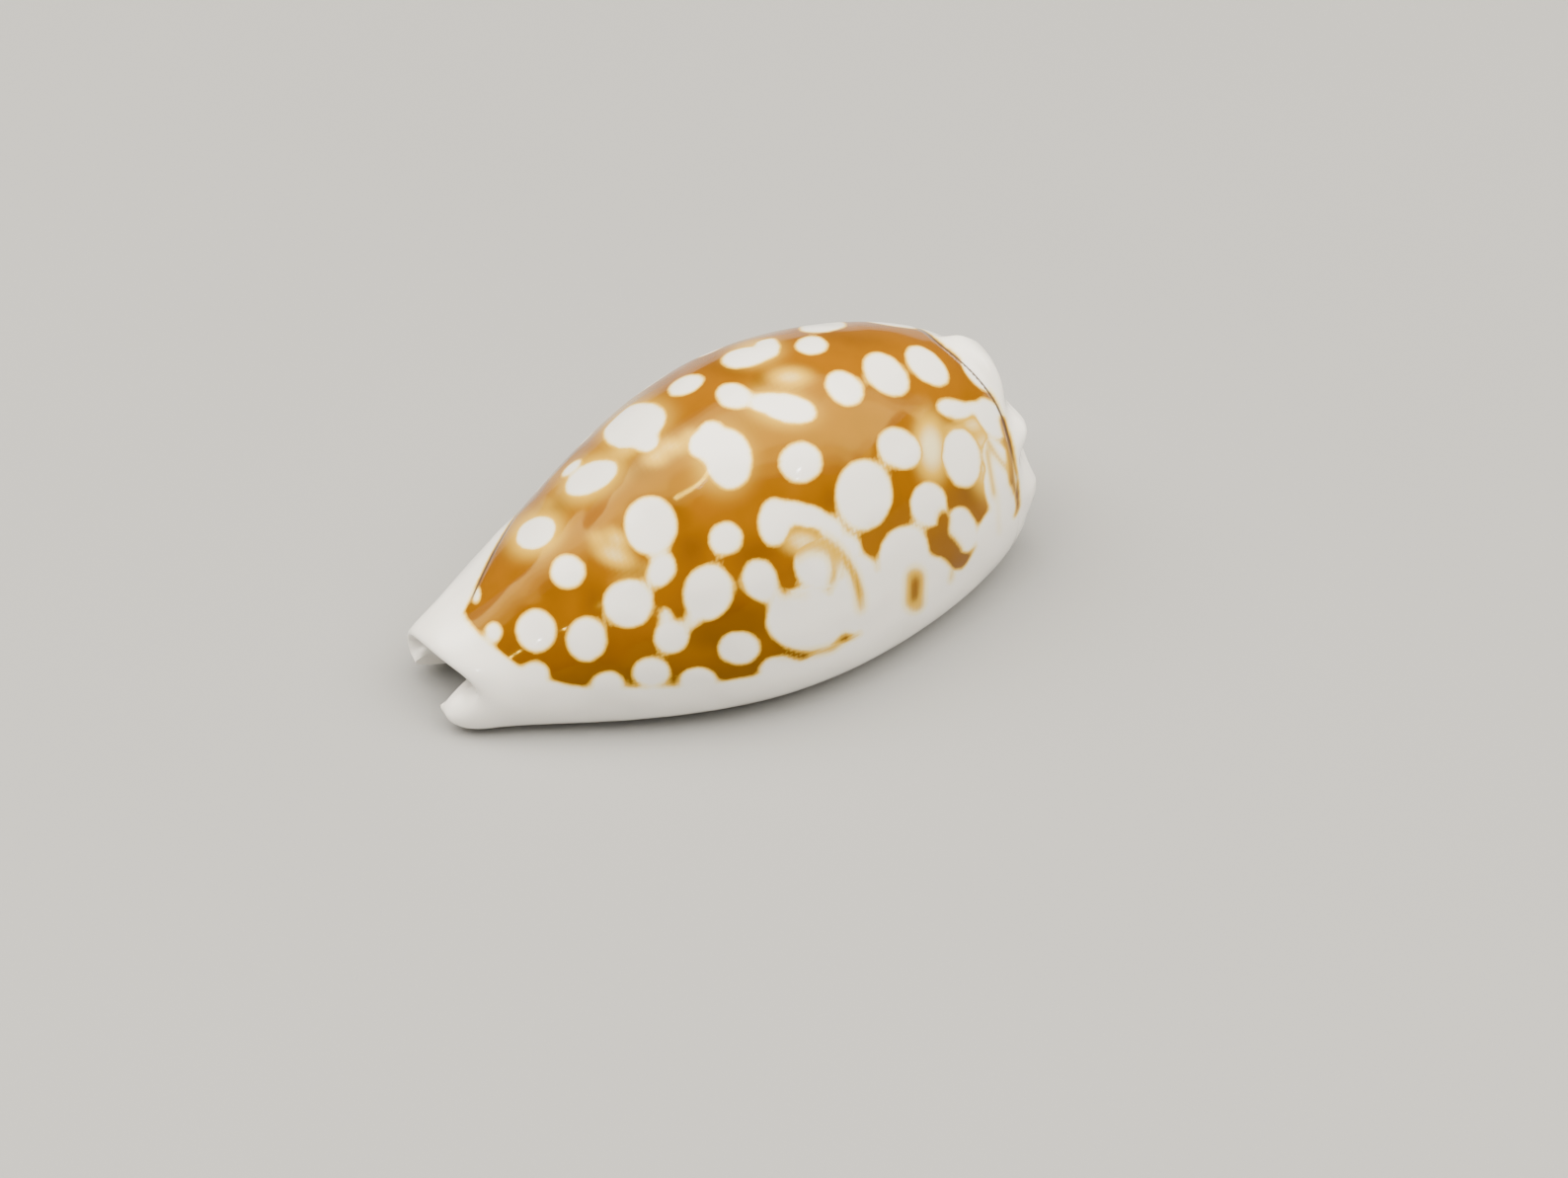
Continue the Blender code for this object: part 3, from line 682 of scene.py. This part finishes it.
class PhotoView:
    """The points of the shell as the photograph sees them, for marks that are placed by pixel."""

    def __init__(self, points, normals, outside):
        self.points = points
        self.normals = normals
        self.right, self.up, self.back = camera_axes()
        self.focal = LENS / SENSOR * PHOTO_WIDTH
        offset = points - LOOK_AT
        depth = CAMERA_DISTANCE - offset @ self.back
        self.across = offset @ self.right / depth * self.focal
        self.height = offset @ self.up / depth * self.focal
        self.scale = CAMERA_DISTANCE / self.focal
        self.facing = np.where(outside, normals @ self.back, -1.0)

    def place(self, pixel):
        """Index of the point that the photograph shows nearest to a pixel."""
        across = pixel[0] - PHOTO_WIDTH / 2.0
        height = PHOTO_HEIGHT / 2.0 - pixel[1]
        miss = np.hypot(self.across - across, self.height - height)
        return int(np.argmin(miss + HIDDEN_MISS * (self.facing < SEEN_FACING)))

    def local(self, pixel):
        """Offsets of all points from a pixel, as seen, in metres across and up."""
        across = (self.across - (pixel[0] - PHOTO_WIDTH / 2.0)) * self.scale
        height = (self.height - (PHOTO_HEIGHT / 2.0 - pixel[1])) * self.scale
        return across, height

    def on_surface(self, distance, slope_across, slope_height):
        """Turns a distance as seen into one along the surface, which is longer where it slants."""
        way = slope_across[:, None] * self.right + slope_height[:, None] * self.up
        tilt = np.einsum("ij,ij->i", way, self.normals)
        return distance / np.sqrt(np.clip(1.0 - tilt ** 2, SLANT_LIMIT, 1.0))

    def near(self, pixel, reach):
        """How far past a reach all points lie from the place that a pixel shows."""
        centre = self.points[self.place(pixel)]
        return np.linalg.norm(self.points - centre, axis=1) - reach


def ellipse_place(across, height, half_width, half_height, turn):
    """Place along an ellipse's two axes, in shares of them, and the cosine and sine of its turn."""
    c = math.cos(math.radians(turn))
    s = math.sin(math.radians(turn))
    return (c * across + s * height) / half_width, (-s * across + c * height) / half_height, c, s


def ellipse_distance(across, height, half_width, half_height, turn):
    """Distance outside an ellipse, as seen, and the direction in which it grows."""
    u, v, c, s = ellipse_place(across, height, half_width, half_height, turn)
    rho = np.maximum(np.hypot(u, v), TINY)
    slope_u = u / half_width
    slope_v = v / half_height
    steep = np.maximum(np.hypot(slope_u, slope_v), TINY)
    distance = rho * (rho - 1.0) / steep
    way_across = (c * slope_u - s * slope_v) / steep
    way_height = (s * slope_u + c * slope_v) / steep
    return distance, way_across, way_height


def stroke_distance(view, points):
    """Distance, as seen, from a line through pixels."""
    best = np.full(len(view.points), np.inf)
    for start, end in zip(points, points[1:]):
        across, height = view.local(start)
        run = np.array([end[0] - start[0], start[1] - end[1]]) * view.scale
        share = np.clip((across * run[0] + height * run[1]) / (run @ run), 0.0, 1.0)
        best = np.minimum(best, np.hypot(across - share * run[0], height - share * run[1]))
    return best


def margin_distance(points, reach):
    """Distance above the white margins: negative inside them."""
    near_top = profile(MARGIN_TOP, station(points))
    near = points[:, 2] - near_top + MARGIN_STEEP * np.maximum(points[:, 1], 0.0)
    return smooth_min(near, -reach, MARGIN_BLEND)


def visible_spots(view):
    """Distance to the nearest white spot that the photograph shows."""
    distance = np.full(len(view.points), NO_SPOT)
    for across, down, half_width, half_height, turn in SPOTS:
        local = view.local((across, down))
        seen = ellipse_distance(*local, half_width * MM, half_height * MM, turn)
        spot = view.on_surface(*seen)
        reach = SPOT_REACH["share"] * max(half_width, half_height) * MM + SPOT_REACH["more"]
        spot = np.maximum(spot, view.near((across, down), reach))
        distance = smooth_min(distance, spot, SPOT_BLEND)
    return distance


def far_spots(points, facing, distance, margin):
    """Adds seeded spots on the side that the photograph doesn't show."""
    dice = np.random.default_rng(FAR_SEED)
    choices = np.flatnonzero((facing < FAR_FACING["starts"]) & (margin > FAR_FROM_MARGIN))
    for share in np.linspace(0.0, 1.0, FAR_TRIES):
        index = int(dice.choice(choices))
        radius = FAR_RADIUS[1] + share * (FAR_RADIUS[0] - FAR_RADIUS[1])
        radius *= dice.uniform(*FAR_UNEVEN)
        stretch = dice.uniform(0.0, FAR_STRETCH)
        room = min(distance[index], margin[index] + FAR_OVER_MARGIN * radius)
        if facing[index] > FAR_FACING["free"] and distance[index] < radius + FAR_FROM_SEEN * FAR_GAP:
            continue
        if room < radius + FAR_GAP:
            continue
        offset = points - points[index]
        length = np.linalg.norm(offset, axis=1)
        lean = 1.0 + stretch * np.abs(offset[:, 0]) / np.maximum(length, TINY)
        distance = smooth_min(distance, length / lean - radius, SPOT_BLEND)
    return distance


def seen_mark(view, mark):
    """A soft mark, from 0 to 1, over an ellipse that the photograph shows."""
    across, down, half_width, half_height, turn = mark
    local = view.local((across, down))
    u, v, _, _ = ellipse_place(*local, half_width * MM, half_height * MM, turn)
    reach = PATCH_REACH * max(half_width, half_height) * MM
    near = 1.0 - smooth_step(view.near((across, down), reach) / MARK_FADE)
    return np.exp(-(u ** 2 + v ** 2)) * near


def evened(values, shape):
    """Evens out a value over the neighbouring points of the grid, so that narrow marks stay smooth."""
    grid = values.reshape(shape)
    for _ in range(SMOOTH_PASSES):
        wide = np.pad(grid, 1, mode="edge")
        wide = 0.25 * wide[:-2] + 0.5 * wide[1:-1] + 0.25 * wide[2:]
        grid = 0.25 * wide[:, :-2] + 0.5 * wide[:, 1:-1] + 0.25 * wide[:, 2:]
    return grid.reshape(-1)


def pattern_fields(grid, places, depth):
    """The values that the enamel's colours follow, one for each point of the shell's grid."""
    shape = grid.shape[:2]
    points = grid.reshape(-1, 3)
    normals = surface_normals(grid).reshape(-1, 3)
    around = np.broadcast_to(places, shape).reshape(-1)
    reach = depth.reshape(-1)
    outside = (around > LIP_STEPS) & (around < HALF - LIP_STEPS)
    view = PhotoView(points, normals, outside)
    margin = margin_distance(points, reach)
    spots = visible_spots(view)
    spots = far_spots(points, np.where(outside, view.facing, 1.0), spots, margin)
    white = smooth_min(spots, margin, WHITE_BLEND)
    white = evened(np.where(outside, white, WHITE_INSIDE), shape)

    veil = np.zeros(len(points))
    for strength, half_width, line in STROKES:
        distance = stroke_distance(view, line) - half_width * MM
        mark = strength * (1.0 - smooth_step(0.5 + distance / STROKE_RIM))
        middle = line[len(line) // 2]
        mark *= 1.0 - smooth_step(view.near(middle, STROKE_REACH) / MARK_FADE)
        veil = np.maximum(veil, mark)
    veil = evened(veil * smooth_step(0.5 + view.facing / FACING_RUN), shape)

    thin = np.zeros(len(points))
    thick = np.zeros(len(points))
    for across, down, half_width, half_height, turn, strength in PATCHES:
        mark = abs(strength) * seen_mark(view, (across, down, half_width, half_height, turn))
        if strength > 0.0:
            thin = np.maximum(thin, mark)
        else:
            thick = np.maximum(thick, mark)
    low = smooth_step((LOW_THICK["top"] - points[:, 2]) / LOW_THICK["run"])
    thick = np.maximum(thick, low * (1.0 - thin))
    return {"white_edge": white / MM + SPOT_TRIM, "veil": veil, "thin": evened(thin, shape),
            "thick": thick, "callus_edge": reach / MM, "groove": groove_share(points, around)}


def linked(tree, kind, inputs, **settings):
    """A node with its settings, and its inputs set to values or joined to sockets."""
    node = tree.nodes.new(kind)
    for name, value in settings.items():
        setattr(node, name, value)
    for name, value in inputs.items():
        if isinstance(value, bpy.types.NodeSocket):
            tree.links.new(value, node.inputs[name])
        else:
            node.inputs[name].default_value = value
    return node


def attribute(tree, name):
    """The value of a point attribute."""
    return linked(tree, "ShaderNodeAttribute", {}, attribute_name=name).outputs["Fac"]


def math_node(tree, operation, a, b=0.0, clamp=False):
    """A math node's result."""
    return linked(tree, "ShaderNodeMath", {0: a, 1: b}, operation=operation, use_clamp=clamp).outputs[0]


def spread(tree, value, low, high):
    """0 at and below low, 1 at and above high, and smooth between them."""
    node = linked(tree, "ShaderNodeMapRange", {"Value": value, "From Min": low, "From Max": high},
                  interpolation_type="SMOOTHSTEP")
    return node.outputs["Result"]


def noise(tree, place, size, detail=2.0):
    """Noise with features of about the given size in metres."""
    inputs = {"Vector": place, "Scale": 1.0 / size, "Detail": detail}
    return linked(tree, "ShaderNodeTexNoise", inputs).outputs["Fac"]


def wobble(tree, place, size, width):
    """Noise about zero, spread over the given width."""
    level = math_node(tree, "SUBTRACT", noise(tree, place, size), 0.5)
    return math_node(tree, "MULTIPLY", level, width)


def mix_colour(tree, share, a, b):
    """Colour a where the share is 0 and colour b where it is 1."""
    node = linked(tree, "ShaderNodeMix", {"Factor": share}, data_type="RGBA")
    for socket, value in ((node.inputs[6], a), (node.inputs[7], b)):
        if isinstance(value, bpy.types.NodeSocket):
            tree.links.new(value, socket)
        else:
            socket.default_value = (*value, 1.0)
    return node.outputs[2]


def new_material(name):
    """A material with its node tree, its shader and the place on the piece."""
    material = bpy.data.materials.new(name)
    material.use_nodes = True
    nodes = material.node_tree.nodes
    place = nodes.new("ShaderNodeTexCoord").outputs["Object"]
    return material, material.node_tree, nodes["Principled BSDF"], place


def enamel_material(enamel, form):
    """Glossy enamel: a caramel layer that thins out round white spots and margins."""
    material, tree, shader, place = new_material("spotted_enamel")
    soft = enamel.softness / MM

    moved = math_node(tree, "ADD", wobble(tree, place, *RAGGED), wobble(tree, place, *DRIFT))
    edge = math_node(tree, "ADD", attribute(tree, "white_edge"), moved)
    veil = math_node(tree, "MULTIPLY", attribute(tree, "veil"), STROKE_GAIN * soft)
    edge = math_node(tree, "MAXIMUM", edge, math_node(tree, "SUBTRACT", veil, STROKE_START * soft))

    mottle = noise(tree, place, MOTTLE["size"], MOTTLE["detail"])
    mottle = spread(tree, mottle, MOTTLE["from"], MOTTLE["to"])
    more = math_node(tree, "MULTIPLY", mottle, MOTTLE["share"])
    thick = math_node(tree, "ADD", attribute(tree, "thick"), more, True)
    layer = mix_colour(tree, thick, enamel.caramel, enamel.deep)
    thin = attribute(tree, "thin")
    pale = mix_colour(tree, spread(tree, thin, *THIN_TO_CREAM), enamel.golden, enamel.cream)
    colour = mix_colour(tree, spread(tree, thin, *THIN_TO_GOLDEN), layer, pale)

    for paler, (low, high) in ((enamel.golden, GOLDEN_TO_BROWN), (enamel.cream, CREAM_TO_GOLDEN),
                               (enamel.white, WHITE_TO_CREAM)):
        colour = mix_colour(tree, spread(tree, edge, low * soft, high * soft), paler, colour)

    # The thin groove is painted darker along its line, fading out through its rim.
    line = math_node(tree, "ADD", attribute(tree, "callus_edge"), GROOVE_DARKENING["outside"])
    line = spread(tree, math_node(tree, "ABSOLUTE", line), GROOVE_DARKENING["middle"], GROOVE_DARKENING["rim"])
    strength = math_node(tree, "MULTIPLY", attribute(tree, "groove"), GROOVE_DARKENING["strength"])
    groove = math_node(tree, "MULTIPLY", math_node(tree, "SUBTRACT", 1.0, line), strength)
    colour = mix_colour(tree, groove, colour, enamel.darkening)
    tree.links.new(colour, shader.inputs["Base Color"])

    wave = noise(tree, place, WAVE["size"], WAVE["detail"])
    bump = linked(tree, "ShaderNodeBump", {"Height": wave, "Strength": 1.0, "Distance": form.wave_height})
    tree.links.new(bump.outputs["Normal"], shader.inputs["Normal"])
    shader.inputs["Roughness"].default_value = enamel.roughness
    for name, value in GLAZE.items():
        shader.inputs[name].default_value = value
    gloss = mix_colour(tree, spread(tree, edge, *GLOSS_RUN), GLOSS_OVER_WHITE, GLOSS_OVER_BROWN)
    tree.links.new(gloss, shader.inputs["Specular Tint"])
    return material


def floor_material(name, colour):
    """A plain, dull material with a faint unevenness."""
    material, tree, shader, place = new_material(name)
    darker = tuple(FLOOR_UNEVEN["darker"] * value for value in colour)
    uneven = mix_colour(tree, noise(tree, place, FLOOR_UNEVEN["size"]), tuple(colour), darker)
    tree.links.new(uneven, shader.inputs["Base Color"])
    shader.inputs["Roughness"].default_value = FLOOR_ROUGHNESS
    return material


def write_attribute(mesh, name, values):
    """Stores one value for each point of a mesh."""
    layer = mesh.attributes.new(name, "FLOAT", "POINT")
    layer.data.foreach_set("value", values.astype(np.float32))


class COWRIE_OT_shell(bpy.types.Operator):
    """Build the shell: its fine mesh, its pattern and its enamel"""
    bl_idname = "cowrie.shell"
    bl_label = "Shell"

    def execute(self, context):
        form = context.scene.cowrie_form
        points, around, reach = shell_grid(form)
        grid = bmesh.new()
        bmesh.ops.create_grid(grid, x_segments=points.shape[1] - 1, y_segments=points.shape[0] - 1,
                              size=HALF_LENGTH)
        layer = grid.verts.layers.int.new("grid_place")
        for index, (vertex, place) in enumerate(zip(grid.verts, points.reshape(-1, 3))):
            vertex.co = place
            vertex[layer] = index
        bmesh.ops.remove_doubles(grid, verts=grid.verts, dist=WELD)
        bmesh.ops.recalc_face_normals(grid, faces=grid.faces)
        mesh = bpy.data.meshes.new("shell_form")
        grid.to_mesh(mesh)
        grid.free()
        mesh.shade_smooth()

        kept = np.zeros(len(mesh.vertices), dtype=np.int32)
        mesh.attributes["grid_place"].data.foreach_get("value", kept)
        mesh.attributes.remove(mesh.attributes["grid_place"])
        for name, values in pattern_fields(points, around, reach).items():
            write_attribute(mesh, name, values[kept])

        piece = bpy.data.objects.new("cowrie_shell", mesh)
        context.scene.collection.objects.link(piece)
        mesh.materials.append(enamel_material(context.scene.cowrie_enamel, form))
        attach(piece, "root")
        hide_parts("shell")
        return {"FINISHED"}


def area_light(scene, name, power, size, towards, distance, colour=(1.0, 1.0, 1.0)):
    """A rectangular softbox that faces the shell from a direction."""
    data = bpy.data.lights.new(name, "AREA")
    data.shape = "RECTANGLE"
    data.size, data.size_y = size
    data.energy = power
    data.color = colour
    light = bpy.data.objects.new(name, data)
    scene.collection.objects.link(light)
    way = Vector(towards).normalized()
    light.location = way * distance
    light.rotation_euler = way.to_track_quat("Z", "Y").to_euler()
    return light


class COWRIE_OT_stage(bpy.types.Operator):
    """Set the floor, the camera and the soft lights"""
    bl_idname = "cowrie.stage"
    bl_label = "Stage"

    def execute(self, context):
        scene = context.scene
        stage = scene.cowrie_stage
        plane = bmesh.new()
        bmesh.ops.create_grid(plane, x_segments=1, y_segments=1, size=0.5 * stage.floor_size)
        mesh = bpy.data.meshes.new("floor")
        plane.to_mesh(mesh)
        plane.free()
        floor = bpy.data.objects.new("floor", mesh)
        scene.collection.objects.link(floor)
        mesh.materials.append(floor_material("pale_floor", stage.floor))

        world = bpy.data.worlds.new("studio")
        world.use_nodes = True
        sky = world.node_tree.nodes["Background"]
        sky.inputs["Color"].default_value = (*SKY_COLOUR, 1.0)
        sky.inputs["Strength"].default_value = stage.sky
        scene.world = world

        for index, width in enumerate(SOFTBOX_WIDTHS):
            power = stage.strip_power * width / sum(SOFTBOX_WIDTHS)
            height = SOFTBOX_HEIGHT + index * SOFTBOX_GAP
            strip = area_light(scene, f"overhead_softbox_{index + 1}", power, (SOFTBOX_LENGTH, width),
                               SOFTBOX_TOWARDS, height, SOFTBOX_COLOUR)
            strip.rotation_euler = (0.0, 0.0, SOFTBOX_TURN)
        for index, towards in enumerate(WINDOWS):
            area_light(scene, f"window_{index + 1}", stage.window_power, WINDOW_SIZE, towards,
                       WINDOW_DISTANCE)
        area_light(scene, "lamp", stage.lamp_power, LAMP_SIZE, LAMP_TOWARDS, LAMP_DISTANCE)

        right, up, back = camera_axes()
        data = bpy.data.cameras.new("camera")
        data.lens = LENS
        data.sensor_width = SENSOR
        data.sensor_fit = "HORIZONTAL"
        data.clip_start, data.clip_end = CAMERA_CLIP
        camera = bpy.data.objects.new("camera", data)
        scene.collection.objects.link(camera)
        turn = Matrix((right, up, back)).transposed().to_4x4()
        camera.matrix_world = Matrix.Translation(LOOK_AT + CAMERA_DISTANCE * back) @ turn
        scene.camera = camera
        return {"FINISHED"}


class COWRIE_PT_panel(bpy.types.Panel):
    """Lists the shell's settings and the steps that build it"""
    bl_idname = "COWRIE_PT_panel"
    bl_label = "Cowrie shell"
    bl_space_type = "VIEW_3D"
    bl_region_type = "UI"
    bl_category = "Cowrie"

    def draw(self, context):
        for group, step in ((context.scene.cowrie_form, None),
                            (context.scene.cowrie_enamel, COWRIE_OT_shell.bl_idname),
                            (context.scene.cowrie_stage, COWRIE_OT_stage.bl_idname)):
            box = self.layout.box()
            for name in group.__annotations__:
                box.prop(group, name)
            if step:
                box.operator(step)


CLASSES = (CowrieForm, CowrieEnamel, CowrieStage, COWRIE_OT_shell, COWRIE_OT_stage, COWRIE_PT_panel)


def register():
    """Registers the classes and hangs the settings on the scene."""
    for item in CLASSES:
        bpy.utils.register_class(item)
    bpy.types.Scene.cowrie_form = PointerProperty(type=CowrieForm)
    bpy.types.Scene.cowrie_enamel = PointerProperty(type=CowrieEnamel)
    bpy.types.Scene.cowrie_stage = PointerProperty(type=CowrieStage)


def unregister():
    """Takes the settings and the classes away again."""
    del bpy.types.Scene.cowrie_stage
    del bpy.types.Scene.cowrie_enamel
    del bpy.types.Scene.cowrie_form
    for item in reversed(CLASSES):
        bpy.utils.unregister_class(item)


def main():
    """Builds the shell and its stage."""
    register()
    bpy.ops.cowrie.shell()
    bpy.ops.cowrie.stage()


if __name__ == "__main__":
    main()
